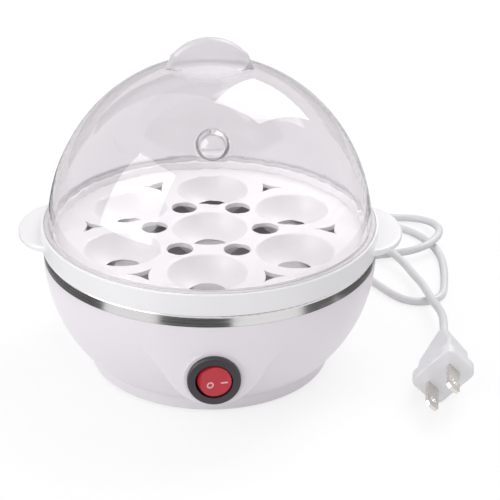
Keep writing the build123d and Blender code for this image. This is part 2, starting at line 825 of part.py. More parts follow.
def ear():
    """Rounded lifting tab that stands out of the tray's rim."""
    low = tray_lip_top - ear_drop - ear_thickness
    outline = Ellipse(ear_reach + ear_root, ear_half_width)
    tab = extrude(Plane((tray_radius - ear_root, 0, low)) * outline, amount=ear_thickness)
    tab = fillet(tab.edges().filter_by(GeomType.ELLIPSE), ear_round)
    return tab - upright(tray_radius - tray_wall / 2, low, low + ear_thickness)


def ellipse_arc(half_width, rise, height):
    """Arc of the lid's section from a height up to the apex."""
    start = degrees(asin((height - lid_centre_height) / rise))
    return EllipticalCenterArc((0, lid_centre_height), half_width, rise, start, arc_size=90 - start)


def lid_radius(height, inset):
    """Radius of the lid's wall at a height, on the outer surface or an inset one."""
    share = (height - lid_centre_height) / (lid_rise - inset)
    return (lid_half_width - inset) * sqrt(1 - share ** 2)


def fin_root():
    """Block under the grip whose sides sweep out from the grip's faces to the dome in hollow curves."""
    half = fin_thickness / 2
    foot = half + fin_flare
    low = lid_apex - fin_half_height
    middle = lid_apex - fin_sink
    high = lid_apex + fin_flare
    section = make_face([
        Line((foot, low), (foot, middle)),
        RadiusArc((foot, middle), (half, high), fin_flare_radius),
        Line((half, high), (-half, high)),
        RadiusArc((-half, high), (-foot, middle), fin_flare_radius),
        Line((-foot, middle), (-foot, low)),
        Line((-foot, low), (foot, low)),
    ])
    root = extrude(Plane.YZ * section, amount=fin_half_width, both=True)
    plan = Pos(0, 0, low) * Ellipse(fin_half_width - fin_round, half + 2 * fin_flare)
    return root & extrude(plan, amount=high - low)


def lid():
    """Clear domed lid with its rim flange, half-disc grip and hollow steam vent."""
    flange_top = tray_seat + lid_flange_thickness
    flange_radius = tray_radius - tray_lip_wall - lid_lip_gap
    filled_dome = turned([
        ellipse_arc(lid_half_width, lid_rise, flange_top),
        Polyline((lid_radius(flange_top, 0), flange_top), (flange_radius, flange_top),
                 (flange_radius, tray_seat), (0, tray_seat), (0, lid_apex)),
    ])
    inside = turned([
        ellipse_arc(lid_half_width - lid_wall, lid_rise - lid_wall, tray_seat),
        Polyline((lid_radius(tray_seat, lid_wall), tray_seat), (0, tray_seat), (0, lid_apex - lid_wall)),
    ])
    fin_centre = lid_apex + fin_top_rise - fin_half_height
    fin_outline = Plane.XZ * Pos(0, fin_centre) * Ellipse(fin_half_width, fin_half_height)
    fin = extrude(fin_outline, amount=fin_thickness / 2, both=True)
    fin = fillet(fin.edges().filter_by(GeomType.ELLIPSE), fin_round)
    fin += extrude(fin_outline, amount=fin_thickness / 2 + fin_flare, both=True) & fin_root()
    vent_height = lid_centre_height + lid_rise * sqrt(1 - (vent_circle / lid_half_width) ** 2) - vent_sink
    vent_place = Pos(0, -vent_circle, vent_height)
    clear = filled_dome + vent_place * Sphere(vent_radius) + fin - inside
    clear -= vent_place * Sphere(vent_radius - vent_wall)
    vent_top = vent_height + vent_radius
    return clear - upright(vent_hole_radius, vent_height, vent_top, (0, -vent_circle))


# The plug's own frame: z out along the blades, x along the line through both blades
plug_turn = radians(plug_yaw)
plug_tilt = radians(plug_roll)
plug_out = Vector(-sin(plug_turn), -cos(plug_turn), 0)
plug_across = Vector(cos(plug_turn) * cos(plug_tilt), -sin(plug_turn) * cos(plug_tilt), sin(plug_tilt))
plug_flat = plug_width / 2 - plug_corner
plug_side = plug_depth / 2 - plug_corner
plug_height = plug_flat * sin(plug_tilt) + plug_side * cos(plug_tilt) + plug_corner + floor_gap
plug_frame = Plane(origin=(plug_x, plug_y, plug_height), x_dir=plug_across, z_dir=plug_out)
plug_neck = plug_frame.from_local_coords(Vector(0, 0, -plug_length))


def plug_body():
    """Moulded plug with a square flange and a body that narrows to the cord."""
    flange = extrude(RectangleRounded(plug_width, plug_depth, plug_corner), amount=-plug_flange)
    flange = fillet(flange.edges().group_by(Axis.Z)[-1], plug_flange_round)
    body_width = plug_width - 2 * plug_step
    body_depth = plug_depth - 2 * plug_step
    body_corner = plug_corner - plug_step
    shoulder_width = body_width - 2 * plug_shoulder_step
    shoulder_depth = body_depth - 2 * plug_shoulder_step
    neck = 2 * (cord_radius + plug_neck_wall)
    wide = Plane((0, 0, -plug_flange)) * RectangleRounded(body_width, body_depth, body_corner)
    shoulder = RectangleRounded(shoulder_width, shoulder_depth, body_corner - plug_shoulder_step)
    shoulder = Plane((0, 0, -plug_shoulder_reach)) * shoulder
    narrow = Plane((0, 0, -plug_length)) * RectangleRounded(neck, neck, neck / 2 - plug_neck_flat)
    body = loft([wide, shoulder]) + loft([shoulder, narrow])
    return plug_frame.location * (flange + body)


def plug_blades():
    """Two flat blades with a hole near the tip."""
    blades = Part()
    for side in (-1, 1):
        blade = Plane((side * blade_spacing / 2, 0, 0)) * Rectangle(blade_thickness, blade_width)
        blade = extrude(blade, amount=blade_length)
        blade = chamfer(blade.edges().group_by(Axis.Z)[-1].filter_by(Axis.X), blade_tip)
        hole = Plane(origin=(0, 0, blade_hole_reach), x_dir=(0, 1, 0), z_dir=(1, 0, 0))
        blades += blade - extrude(hole * Circle(blade_hole_radius), amount=blade_spacing, both=True)
    return plug_frame.location * blades


# The cord's way from the bushing over the table to the plug
cord_floor = cord_radius + floor_gap
cord_route = [
    (0, cord_exit, cord_height), (0, cord_exit + cord_stub, cord_height), (3.5, 121.5, 11.5), (12.5, 135, 6),
    (27.5, 145, 2.6), (47.5, 151.5, cord_floor), (68, 153, cord_floor), (87, 149, cord_floor),
    (103, 140.5, cord_floor), (117, 139.5, 2.4), (127, 129.5, 4.2), (128.5, 112, 6.9), (120, 96.5, 6.9),
    (110, 92, 5.2), (99.5, 93.2, 2.8), (91, 93.6, cord_floor), (82.4, 88.9, cord_floor),
    (78.9, 79, cord_floor), (82.5, 68, cord_floor), (88.6, 56.2, cord_floor), (95.6, 44.7, cord_floor),
    (103.2, 40.1, cord_floor),
    (112.2, 41, cord_floor), (118.7, 47.2, cord_floor), (121.5, 60.5, cord_floor), (124, 76, cord_floor),
    (125, 91.5, cord_floor), (122.5, 106, cord_floor), (116, 119.5, cord_floor), (105.5, 129.5, cord_floor),
    (92.5, 134.3, cord_floor), (79, 133, cord_floor), (69, 124.5, cord_floor), (66.5, 112, cord_floor),
    (72.5, 102.5, 4.2), (83.5, 98, 6.9), (96.5, 90.5, 6.9), (103, 77.5, 5.4), (106, 64, 5.2),
    (108.4, 50, 6.9), (110.4, 33, 6.9), (112, 16.5, 9.4),
    tuple(plug_neck - plug_out * cord_stub), tuple(plug_neck),
]


def power_cord():
    """Free cord from the bushing to the plug, straight runs joined by arcs as large as the runs allow."""
    return flex(cord_route, bend_radii(cord_route, cord_arc_share), cord_radius)


pieces = [
    base_shell, water_pan, heater_plate, heater_tube, heater_pins, clamp_plate, clamp_nuts, thermostat,
    thermal_fuse, bottom_cover, cover_screws, feet, switch_housing, switch_terminals, neon_lamp, rocker,
    rocker_plunger, rocker_spring, contact_bar, cord_bushing, lead_live, lead_neutral, lead_switched,
    lead_fuse, lead_heater, egg_tray, lid, plug_body, plug_blades, power_cord,
]

os.makedirs("parts", exist_ok=True)
for make in pieces:
    export_step(make(), f"parts/{make.__name__}.step")
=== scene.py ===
import math
import bpy
import numpy as np
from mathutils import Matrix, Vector


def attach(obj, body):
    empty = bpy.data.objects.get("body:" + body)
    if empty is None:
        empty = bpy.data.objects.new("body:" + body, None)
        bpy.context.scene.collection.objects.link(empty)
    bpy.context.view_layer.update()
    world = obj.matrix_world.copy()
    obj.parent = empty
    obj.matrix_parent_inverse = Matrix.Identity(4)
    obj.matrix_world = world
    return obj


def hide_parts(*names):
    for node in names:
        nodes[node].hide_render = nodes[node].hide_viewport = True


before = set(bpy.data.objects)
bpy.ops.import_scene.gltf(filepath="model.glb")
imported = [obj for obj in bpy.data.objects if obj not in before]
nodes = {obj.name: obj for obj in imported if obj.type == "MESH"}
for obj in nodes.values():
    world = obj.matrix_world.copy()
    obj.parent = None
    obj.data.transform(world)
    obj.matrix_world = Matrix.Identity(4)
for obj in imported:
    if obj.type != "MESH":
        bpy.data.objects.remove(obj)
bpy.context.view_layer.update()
collection = bpy.context.scene.collection

# Camera: stands in front and a touch to the left, looking down by 26 degrees through a long lens,
# with the cooker left of the frame's middle so that the cord and plug show.
aim = Vector((0, 0, 0.0518))
camera_distance = 0.650
camera_elevation = math.radians(26.1)
camera_azimuth = math.radians(-1.35)
camera_back = Vector((math.sin(camera_azimuth) * math.cos(camera_elevation),
                      -math.cos(camera_azimuth) * math.cos(camera_elevation),
                      math.sin(camera_elevation)))
camera = bpy.data.objects.new("camera", bpy.data.cameras.new("camera"))
camera.data.sensor_width = 36
camera.data.lens = 102.5
camera.data.shift_x = 0.0804
camera.location = aim + camera_back * camera_distance
camera.rotation_euler = camera_back.to_track_quat("Z", "Y").to_euler()
collection.objects.link(camera)
bpy.context.scene.camera = camera
bpy.context.scene.view_settings.view_transform = "Standard"


# Power cord: a thin pale flex that leaves the bushing at the rear, sinks to the table and lies there
# in two loose loops before it rises into the plug. Extruded vinyl, moulded into the plug's neck.
def principled(name, colour, roughness, **values):
    """New material with one shader whose sockets hold these constants."""
    material = bpy.data.materials.new(name)
    material.use_nodes = True
    shader = material.node_tree.nodes["Principled BSDF"]
    shader.inputs["Base Color"].default_value = (*colour, 1)
    shader.inputs["Roughness"].default_value = roughness
    for socket, value in values.items():
        shader.inputs[socket.replace("_", " ")].default_value = value
    return material


def ramp(tree, value, low, high, start=0.0, end=1.0):
    """Number that goes from start to end while a value goes from low to high, and stays level beyond."""
    node = tree.nodes.new("ShaderNodeMapRange")
    for socket, number in (("From Min", low), ("From Max", high), ("To Min", start), ("To Max", end)):
        node.inputs[socket].default_value = number
    tree.links.new(value, node.inputs["Value"])
    return node.outputs["Result"]


def object_place(tree):
    """Place on the object, in metres from its origin."""
    return tree.nodes.new("ShaderNodeTexCoord").outputs["Object"]


def noise(tree, place, scale, detail):
    """Noise texture at a place, as one number."""
    texture = tree.nodes.new("ShaderNodeTexNoise")
    texture.inputs["Scale"].default_value = scale
    texture.inputs["Detail"].default_value = detail
    tree.links.new(place, texture.inputs["Vector"])
    return texture.outputs["Fac"]


def lift(tree, level, height):
    """Shade the surface as if a level from 0 to 1 raised it by up to a height."""
    bump = tree.nodes.new("ShaderNodeBump")
    bump.inputs["Distance"].default_value = height
    tree.links.new(level, bump.inputs["Height"])
    tree.links.new(bump.outputs["Normal"], tree.nodes["Principled BSDF"].inputs["Normal"])


def grain(material, level, height, spread):
    """Let a noise lift the surface by a height and vary its roughness both ways by a spread."""
    usual_low, usual_high = 0.3, 0.7
    tree = material.node_tree
    rough = tree.nodes["Principled BSDF"].inputs["Roughness"]
    least, most = rough.default_value - spread, rough.default_value + spread
    lift(tree, level, height)
    tree.links.new(ramp(tree, level, usual_low, usual_high, least, most), rough)
    return material


def skin(material, scale, height, spread):
    """Fine even grain in object space, as moulding, drawing or handling leaves it."""
    tree = material.node_tree
    return grain(material, noise(tree, object_place(tree), scale, detail=3), height, spread)


cord_diameter = 0.004
cord_floor = 0.0021
plug_neck = (0.10766, -0.01382, 0.01358)
cord_route = [
    (0, 0.09575, 0.016), (0, 0.10775, 0.016), (0.0035, 0.1215, 0.0115), (0.0125, 0.135, 0.006),
    (0.0275, 0.145, 0.0026), (0.0475, 0.1515, cord_floor), (0.068, 0.153, cord_floor), (0.087, 0.149, cord_floor),
    (0.103, 0.1405, cord_floor), (0.117, 0.1395, 0.0024), (0.127, 0.1295, 0.0042), (0.1285, 0.112, 0.0069),
    (0.120, 0.0965, 0.0069), (0.110, 0.092, 0.0052), (0.0995, 0.0932, 0.0028), (0.091, 0.0936, cord_floor),
    (0.0824, 0.0889, cord_floor), (0.0789, 0.079, cord_floor), (0.0825, 0.068, cord_floor),
    (0.0886, 0.0562, cord_floor), (0.0956, 0.0447, cord_floor), (0.1032, 0.0401, cord_floor),
    (0.1122, 0.041, cord_floor), (0.1187, 0.0472, cord_floor), (0.1215, 0.0605, cord_floor),
    (0.124, 0.076, cord_floor), (0.125, 0.0915, cord_floor), (0.1225, 0.106, cord_floor),
    (0.116, 0.1195, cord_floor), (0.1055, 0.1295, cord_floor), (0.0925, 0.1343, cord_floor),
    (0.079, 0.133, cord_floor), (0.069, 0.1245, cord_floor), (0.0665, 0.112, cord_floor), (0.0725, 0.1025, 0.0042),
    (0.0835, 0.098, 0.0069), (0.0965, 0.0905, 0.0069), (0.103, 0.0775, 0.0054), (0.106, 0.064, 0.0052),
    (0.1084, 0.050, 0.0069), (0.1104, 0.033, 0.0069), (0.112, 0.0165, 0.0094), (0.10983, -0.00202, 0.01358),
    plug_neck,
]
cord_curve = bpy.data.curves.new("power_cord_flex", "CURVE")
cord_curve.dimensions = "3D"
cord_curve.bevel_depth = cord_diameter / 2
cord_curve.bevel_resolution = 6
cord_curve.resolution_u = 10
cord_spline = cord_curve.splines.new("NURBS")
cord_spline.points.add(len(cord_route) - 1)
for spline_point, place in zip(cord_spline.points, cord_route):
    spline_point.co = (*place, 1)
cord_spline.order_u = 3
cord_spline.use_endpoint_u = True
cord = bpy.data.objects.new("power_cord_flex", cord_curve)
collection.objects.link(cord)
cord_white = skin(principled("cord_white", (0.76, 0.76, 0.765), 0.42), 900, 0.00004, 0.06)
cord_curve.materials.append(cord_white)
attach(cord, "base")
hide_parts("power_cord")


# Plug and bushing: white vinyl moulded round the flex, with a faint pebble from the mould.
# The plug carries two bright flat blades, stamped from nickelled brass.
def wear(material, *names):
    """Give these CAD nodes one material."""
    for name in names:
        mesh = nodes[name].data
        mesh.materials.clear()
        mesh.materials.append(material)


plug_white = skin(principled("plug_white", (0.79, 0.79, 0.80), 0.38), 1400, 0.00005, 0.06)
wear(plug_white, "plug_body", "cord_bushing")
blade_nickel = skin(principled("blade_nickel", (0.74, 0.71, 0.67), 0.24, Metallic=1.0), 700, 0.00002, 0.08)
wear(blade_nickel, "plug_blades")

# Base bowl: white moulded plastic with a soft sheen and a faint lilac cast, and the cover plate
# that closes its foot ring. Both come from the same moulding powder.
shell_white = skin(principled("shell_white", (0.84, 0.812, 0.84), 0.30, IOR=1.46), 260, 0.000004, 0.02)
wear(shell_white, "base_shell")
cover_white = skin(principled("cover_white", (0.80, 0.775, 0.795), 0.5, IOR=1.46), 1200, 0.00006, 0.08)
wear(cover_white, "bottom_cover")

# Switch panel: the part of the bowl that stands forward to carry the switch, with a bell-shaped outline.
# It is one moulding with the bowl. The CAD panel has straight sides, and this skin lies over them.
switch_height = 0.028
bowl_top_height = 0.0533
bowl_curve_radius = 0.0665
bowl_centre_radius = 0.0088
panel_radius = 0.07385
panel_blend = 0.0012
panel_edge = 0.0012
panel_hole_radius = 0.0110
panel_sink = 0.00003
panel_root = 0.0008
panel_face_rings = 15
panel_edge_rings = 8
panel_fade_power = 4
panel_cuts = 3
panel_half_outline = np.array([
    (0, 0.0152), (0.004, 0.0153), (0.008, 0.0160), (0.011, 0.0174), (0.0133, 0.0190), (0.0157, 0.0210),
    (0.0182, 0.0240), (0.0203, 0.0270), (0.0220, 0.0300), (0.0242, 0.0330), (0.0270, 0.0360), (0.0310, 0.0393),
    (0.0345, 0.0430), (0.0360, 0.0465), (0.0180, 0.0465), (0, 0.0465),
])


def surface(name, points, faces, material):
    """New object at the origin with this mesh and material."""
    mesh = bpy.data.meshes.new(name)
    mesh.from_pydata(points, [], faces)
    mesh.materials.append(material)
    thing = bpy.data.objects.new(name, mesh)
    collection.objects.link(thing)
    return thing


def woven(name, rings, closed, material):
    """Smooth surface through rows of as many points each: a row is joined to the next one, and its own
    end to its start where it is closed."""
    rings = np.asarray(rings)
    count = rings.shape[1]
    faces = []
    for ring in range(len(rings) - 1):
        low, high = ring * count, (ring + 1) * count
        for column in range(count if closed else count - 1):
            beside = (column + 1) % count
            faces.append((low + column, high + column, high + beside, low + beside))
    thing = surface(name, rings.reshape(-1, 3).tolist(), faces, material)
    thing.data.shade_smooth()
    return thing


def bowl_radius(height):
    """Radius of the bowl's wall at a height: its section is an arc centred level with the top edge."""
    return bowl_centre_radius + np.sqrt(bowl_curve_radius ** 2 - (bowl_top_height - height) ** 2)


def panel_depth(across, height, fade):
    """How far forward the panel's face lies: on the larger of the bowl's radius and the panel's own, with a
    square-law rise of a quarter of the blend where the two cross, which fades out towards the outline."""
    wall = bowl_radius(height) - panel_sink
    near = np.clip(1 - np.abs(wall - panel_radius) / panel_blend, 0, None)
    radius = np.maximum(wall, panel_radius) + panel_blend * near ** 2 / 4 * fade
    return np.sqrt(radius ** 2 - across ** 2)


def corners_cut(outline, cuts):
    """Closed outline whose corners are cut a few times at a quarter of each side, which rounds it."""
    for cut in range(cuts):
        after = np.roll(outline, -1, axis=0)
        outline = np.stack([0.75 * outline + 0.25 * after, 0.25 * outline + 0.75 * after], axis=1).reshape(-1, 2)
    return outline


def panel_rings():
    """Rings round the switch: the face from the switch's hole to the outline, a quarter round over its
    edge, and a flank straight back into the bowl's wall."""
    outline = corners_cut(np.concatenate([panel_half_outline, panel_half_outline[-2:0:-1] * (-1, 1)]), panel_cuts)
    away = outline - (0, switch_height)
    reach = np.linalg.norm(away, axis=1)
    toward = away / reach[:, None]
    rings = []
    for share in np.linspace(0, 1, panel_face_rings):
        along = panel_hole_radius + (reach - panel_edge - panel_hole_radius) * share
        across, height = along * toward[:, 0], switch_height + along * toward[:, 1]
        forward = panel_depth(across, height, 1 - share ** panel_fade_power)
        rings.append(np.stack([across, -forward, height], axis=1))
    for bend in np.linspace(0, math.pi / 2, panel_edge_rings)[1:]:
        along = reach - panel_edge * (1 - math.sin(bend))
        across, height = along * toward[:, 0], switch_height + along * toward[:, 1]
        back = panel_edge * (1 - math.cos(bend)) - panel_depth(across, height, 0)
        rings.append(np.stack([across, back, height], axis=1))
    root = -np.sqrt((bowl_radius(height) - panel_root) ** 2 - across ** 2)
    rings.append(np.stack([across, np.maximum(root, back + panel_sink), height], axis=1))
    return rings


panel = woven("switch_panel", panel_rings(), True, shell_white)
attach(panel, "base")


# Water pan: deep-drawn bright steel, spun on a lathe so that its fine lines run round the axis.
# Its rolled rim shows as a thin band under the tray.
def math_node(tree, operation, first, second):
    """Result of a math node on two values, each a number or another node's output."""
    node = tree.nodes.new("ShaderNodeMath")
    node.operation = operation
    for socket, value in zip(node.inputs, (first, second)):
        if isinstance(value, bpy.types.NodeSocket):
            tree.links.new(value, socket)
        else:
            socket.default_value = value
    return node.outputs["Value"]


def vector_node(tree, operation, first, second=(0, 0, 0)):
    """Outputs of a vector math node on another node's output and a fixed vector."""
    node = tree.nodes.new("ShaderNodeVectorMath")
    node.operation = operation
    tree.links.new(first, node.inputs[0])
    node.inputs[1].default_value = second
    return node.outputs


def spun(material, turn_scale, line_scale, height, spread):
    """Brushed lines round the upright axis: noise of radius and height, nearly constant along the turn."""
    tree = material.node_tree
    parts = tree.nodes.new("ShaderNodeSeparateXYZ")
    tree.links.new(object_place(tree), parts.inputs["Vector"])
    flat = tree.nodes.new("ShaderNodeCombineXYZ")
    tree.links.new(parts.outputs["X"], flat.inputs["X"])
    tree.links.new(parts.outputs["Y"], flat.inputs["Y"])
    turn = math_node(tree, "ARCTAN2", parts.outputs["Y"], parts.outputs["X"])
    radius = vector_node(tree, "LENGTH", flat.outputs["Vector"])["Value"]
    lines = tree.nodes.new("ShaderNodeCombineXYZ")
    for axis, source, scale in (("X", turn, turn_scale), ("Y", radius, line_scale),
                                ("Z", parts.outputs["Z"], line_scale)):
        tree.links.new(math_node(tree, "MULTIPLY", source, scale), lines.inputs[axis])
    return grain(material, noise(tree, lines.outputs["Vector"], scale=1, detail=4), height, spread)


pan_steel = spun(principled("pan_steel", (0.70, 0.69, 0.685), 0.20, Metallic=1.0),
                 turn_scale=1.5, line_scale=2600, height=0.00001, spread=0.07)
wear(pan_steel, "water_pan")

# Heater parts under the pan: cast aluminium spreader, sheathed tube with its pins, pressed clamp
# plate, ceramic thermostat, thermal fuse in a braided sleeve, and the leads between them.
cast_aluminium = skin(principled("cast_aluminium", (0.68, 0.68, 0.69), 0.48, Metallic=1.0), 1100, 0.0001, 0.1)
wear(cast_aluminium, "heater_plate")
dull_sheath = skin(principled("dull_sheath", (0.42, 0.42, 0.43), 0.55, Metallic=1.0), 800, 0.00003, 0.1)
wear(dull_sheath, "heater_tube", "heater_pins")
zinc_steel = skin(principled("zinc_steel", (0.66, 0.66, 0.67), 0.34, Metallic=1.0), 600, 0.00002, 0.08)
wear(zinc_steel, "clamp_plate", "clamp_nuts", "cover_screws", "rocker_spring")
thermostat_ceramic = skin(principled("thermostat_ceramic", (0.72, 0.67, 0.58), 0.6), 1500, 0.00005, 0.1)
wear(thermostat_ceramic, "thermostat")
fuse_sleeve = skin(principled("fuse_sleeve", (0.78, 0.76, 0.70), 0.8), 2500, 0.0002, 0.1)
wear(fuse_sleeve, "thermal_fuse")
lead_black = skin(principled("lead_black", (0.03, 0.03, 0.03), 0.45), 1200, 0.00003, 0.06)
wear(lead_black, "lead_live", "lead_switched", "lead_fuse", "lead_heater")
lead_white = skin(principled("lead_white", (0.78, 0.78, 0.78), 0.45), 1200, 0.00003, 0.06)
wear(lead_white, "lead_neutral")

# Rubber feet: four dark moulded pads, dusty and without shine.
# They are stuck under the cover plate and carry the cooker.
foot_rubber = skin(principled("foot_rubber", (0.05, 0.05, 0.05), 0.8), 900, 0.0001, 0.1)
wear(foot_rubber, "feet")

# Rocker switch: a round black housing of glass-filled plastic that snaps into the panel, with a red
# moulded rocker on two pins, brass blades and contact, and a small glass lamp.
switch_black = skin(principled("switch_black", (0.040, 0.034, 0.040), 0.36), 1500, 0.00001, 0.08)
wear(switch_black, "switch_housing")
rocker_red = skin(principled("rocker_red", (0.54, 0.022, 0.040), 0.22), 300, 0.000004, 0.05)
wear(rocker_red, "rocker")
contact_brass = skin(principled("contact_brass", (0.72, 0.52, 0.22), 0.3, Metallic=1.0), 700, 0.00002, 0.08)
wear(contact_brass, "switch_terminals", "contact_bar", "rocker_plunger")
lamp_glass = skin(principled("lamp_glass", (0.95, 0.80, 0.70), 0.05, Transmission_Weight=1.0, IOR=1.5),
                  400, 0.00001, 0.03)
wear(lamp_glass, "neon_lamp")

# Switch marks: a pale ring and a pale dash moulded into the rocker's dished face, the plain signs
# for off and on. They stand 0.06 mm proud of it and turn with the rocker.
panel_face = 0.0742
rocker_top_radius = 0.00660
rocker_dish_depth = 0.0009
rocker_rise = 0.0030
rocker_pivot_depth = 0.0015
rocker_turn = math.radians(10)
mark_rise = 0.00012
mark_sink = 0.00006
mark_columns = 9
ring_points = 48
ring_radius = 0.00118
ring_half_width = 0.00040
ring_centre = np.array([-0.0023, -0.0013])
dash_points = 33
dash_half_length = 0.00155
dash_half_width = 0.00043
dash_tip_half_width = 0.00001
dash_squareness = 8
dash_lean = math.radians(5)
dash_centre = np.array([0.0037, -0.0006])
mark_white = skin(principled("mark_white", (0.80, 0.50, 0.52), 0.35), 900, 0.00001, 0.05)


def switch_mark(name, path, normals, half_widths, closed):
    """Stroke on the rocker: across it the height follows half an ellipse, from just under the dished
    face at the edges to a little above it in the middle; the dish is a cylinder hollow from side to side."""
    across = np.linspace(-1, 1, mark_columns)
    flat = path[:, None, :] + normals[:, None, :] * (half_widths[:, None] * across[None, :])[:, :, None]
    dish_radius = (rocker_top_radius ** 2 + rocker_dish_depth ** 2) / (2 * rocker_dish_depth)
    face = rocker_rise - rocker_dish_depth + dish_radius - np.sqrt(dish_radius ** 2 - flat[:, :, 0] ** 2)
    high = face - mark_sink + mark_rise * np.sqrt(1 - across ** 2)[None, :] + rocker_pivot_depth
    side = flat[:, :, 0] * math.cos(rocker_turn) + high * math.sin(rocker_turn)
    out = -flat[:, :, 0] * math.sin(rocker_turn) + high * math.cos(rocker_turn) - rocker_pivot_depth
    points = np.stack([side, -panel_face - out, switch_height + flat[:, :, 1]], axis=2)
    mark = woven(name, points.transpose(1, 0, 2), closed, mark_white)
    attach(mark, "rocker")


ring_turns = np.linspace(0, 2 * math.pi, ring_points, endpoint=False)
ring_normals = np.stack([np.cos(ring_turns), np.sin(ring_turns)], axis=1)
switch_mark("off_ring", ring_centre + ring_radius * ring_normals, -ring_normals,
            np.full(ring_points, ring_half_width), True)
dash_steps = np.linspace(-1, 1, dash_points)
dash_along = np.array([math.cos(dash_lean), math.sin(dash_lean)])
dash_across = np.array([-math.sin(dash_lean), math.cos(dash_lean)])
switch_mark("on_dash", dash_centre + dash_half_length * dash_steps[:, None] * dash_along[None, :],
            np.repeat(dash_across[None, :], dash_points, axis=0),
            dash_half_width * np.sqrt(1 - np.abs(dash_steps) ** dash_squareness) + dash_tip_half_width, False)

# Egg tray: white moulded plastic, a little brighter than the bowl, with dished cups and steam holes.
# It drops into the pan's rim and is lifted out by its two ears.
tray_white = skin(principled("tray_white", (0.89, 0.886, 0.887), 0.36), 300, 0.000004, 0.03)
wear(tray_white, "egg_tray")

# Lid: one clear moulding of a faintly grey lilac plastic, a thin dome with a rim flange, a fin to
# lift it by and a hollow steam vent. The fin and the flange leave a frosted part of the mould, and the
# vent's thick ball is a little cloudy.
lid_polish = 0.012
lid_frost_roughness = 0.34
lid_frost_through = 0.35
lid_wave_scale = 24
lid_wave_height = 0.00006
crown_clear, crown_frosted = 0.1385, 0.1405
flange_clear, flange_frosted = 0.0690, 0.0686
dome_centre = (0, 0, 0.0637)
dome_half_axes = (0.0730, 0.0730, 0.0777)
fin_surface, fin_outside = 1.0005, 1.0035
fin_below, fin_foot = 0.1295, 0.1310
vent_centre = (0, -0.0465, 0.1215)
vent_outside, vent_inside = 0.0084, 0.0075
vent_milk = 0.28
lid_clear = principled("lid_clear", (0.875, 0.86, 0.875), lid_polish, Transmission_Weight=1.0, IOR=1.46)
lid_tree = lid_clear.node_tree
lid_shader = lid_tree.nodes["Principled BSDF"]
lid_output = lid_tree.nodes["Material Output"]
wall_tint = lid_tree.nodes.new("ShaderNodeVolumeAbsorption")
wall_tint.inputs["Color"].default_value = (0.52, 0.45, 0.49, 1)
wall_tint.inputs["Density"].default_value = 36
lid_tree.links.new(wall_tint.outputs["Volume"], lid_output.inputs["Volume"])
let_through = lid_tree.nodes.new("ShaderNodeBsdfTransparent")
let_through.inputs["Color"].default_value = (0.99, 0.99, 0.99, 1)
clear_mix = lid_tree.nodes.new("ShaderNodeMixShader")
lid_tree.links.new(lid_tree.nodes.new("ShaderNodeLightPath").outputs["Is Shadow Ray"], clear_mix.inputs["Fac"])
lid_tree.links.new(lid_shader.outputs["BSDF"], clear_mix.inputs[1])
lid_tree.links.new(let_through.outputs["BSDF"], clear_mix.inputs[2])
lid_tree.links.new(clear_mix.outputs["Shader"], lid_output.inputs["Surface"])
lid_place = object_place(lid_tree)
lid_parts = lid_tree.nodes.new("ShaderNodeSeparateXYZ")
lid_tree.links.new(lid_place, lid_parts.inputs["Vector"])
lid_height = lid_parts.outputs["Z"]
crown_frost = ramp(lid_tree, lid_height, crown_clear, crown_frosted)
flange_frost = ramp(lid_tree, lid_height, flange_clear, flange_frosted)
dome_away = vector_node(lid_tree, "SUBTRACT", lid_place, dome_centre)["Vector"]
dome_share = vector_node(lid_tree, "DIVIDE", dome_away, dome_half_axes)["Vector"]
dome_level = vector_node(lid_tree, "LENGTH", dome_share)["Value"]
fin_frost = math_node(lid_tree, "MULTIPLY", ramp(lid_tree, dome_level, fin_surface, fin_outside),
                      ramp(lid_tree, lid_height, fin_below, fin_foot))
frost = math_node(lid_tree, "MAXIMUM", math_node(lid_tree, "MAXIMUM", crown_frost, flange_frost), fin_frost)
vent_away = vector_node(lid_tree, "DISTANCE", lid_place, vent_centre)["Value"]
vent_cloud = math_node(lid_tree, "MULTIPLY", ramp(lid_tree, vent_away, vent_outside, vent_inside), vent_milk)
opaque = math_node(lid_tree, "MAXIMUM", frost, vent_cloud)
lid_tree.links.new(ramp(lid_tree, frost, 0, 1, lid_polish, lid_frost_roughness), lid_shader.inputs["Roughness"])
lid_tree.links.new(ramp(lid_tree, opaque, 0, 1, 1.0, lid_frost_through), lid_shader.inputs["Transmission Weight"])
lift(lid_tree, noise(lid_tree, lid_place, lid_wave_scale, detail=1), lid_wave_height)
wear(lid_clear, "lid")


# Floor: a pale seamless table top. Seen straight, mirrored or through the lid it is near white and keeps
# the object's shadow; the light that it sends back to the object is that of a plain pale surface.
def seen_or_plain(tree, seen, plain, output):
    """Use one shader for camera, glossy and transmission rays, and another for the rest."""
    path = tree.nodes.new("ShaderNodeLightPath").outputs
    either = math_node(tree, "MAXIMUM", path["Is Camera Ray"], path["Is Glossy Ray"])
    mix = tree.nodes.new("ShaderNodeMixShader")
    tree.links.new(math_node(tree, "MAXIMUM", either, path["Is Transmission Ray"]), mix.inputs["Fac"])
    tree.links.new(plain, mix.inputs[1])
    tree.links.new(seen, mix.inputs[2])
    tree.links.new(mix.outputs["Shader"], output)


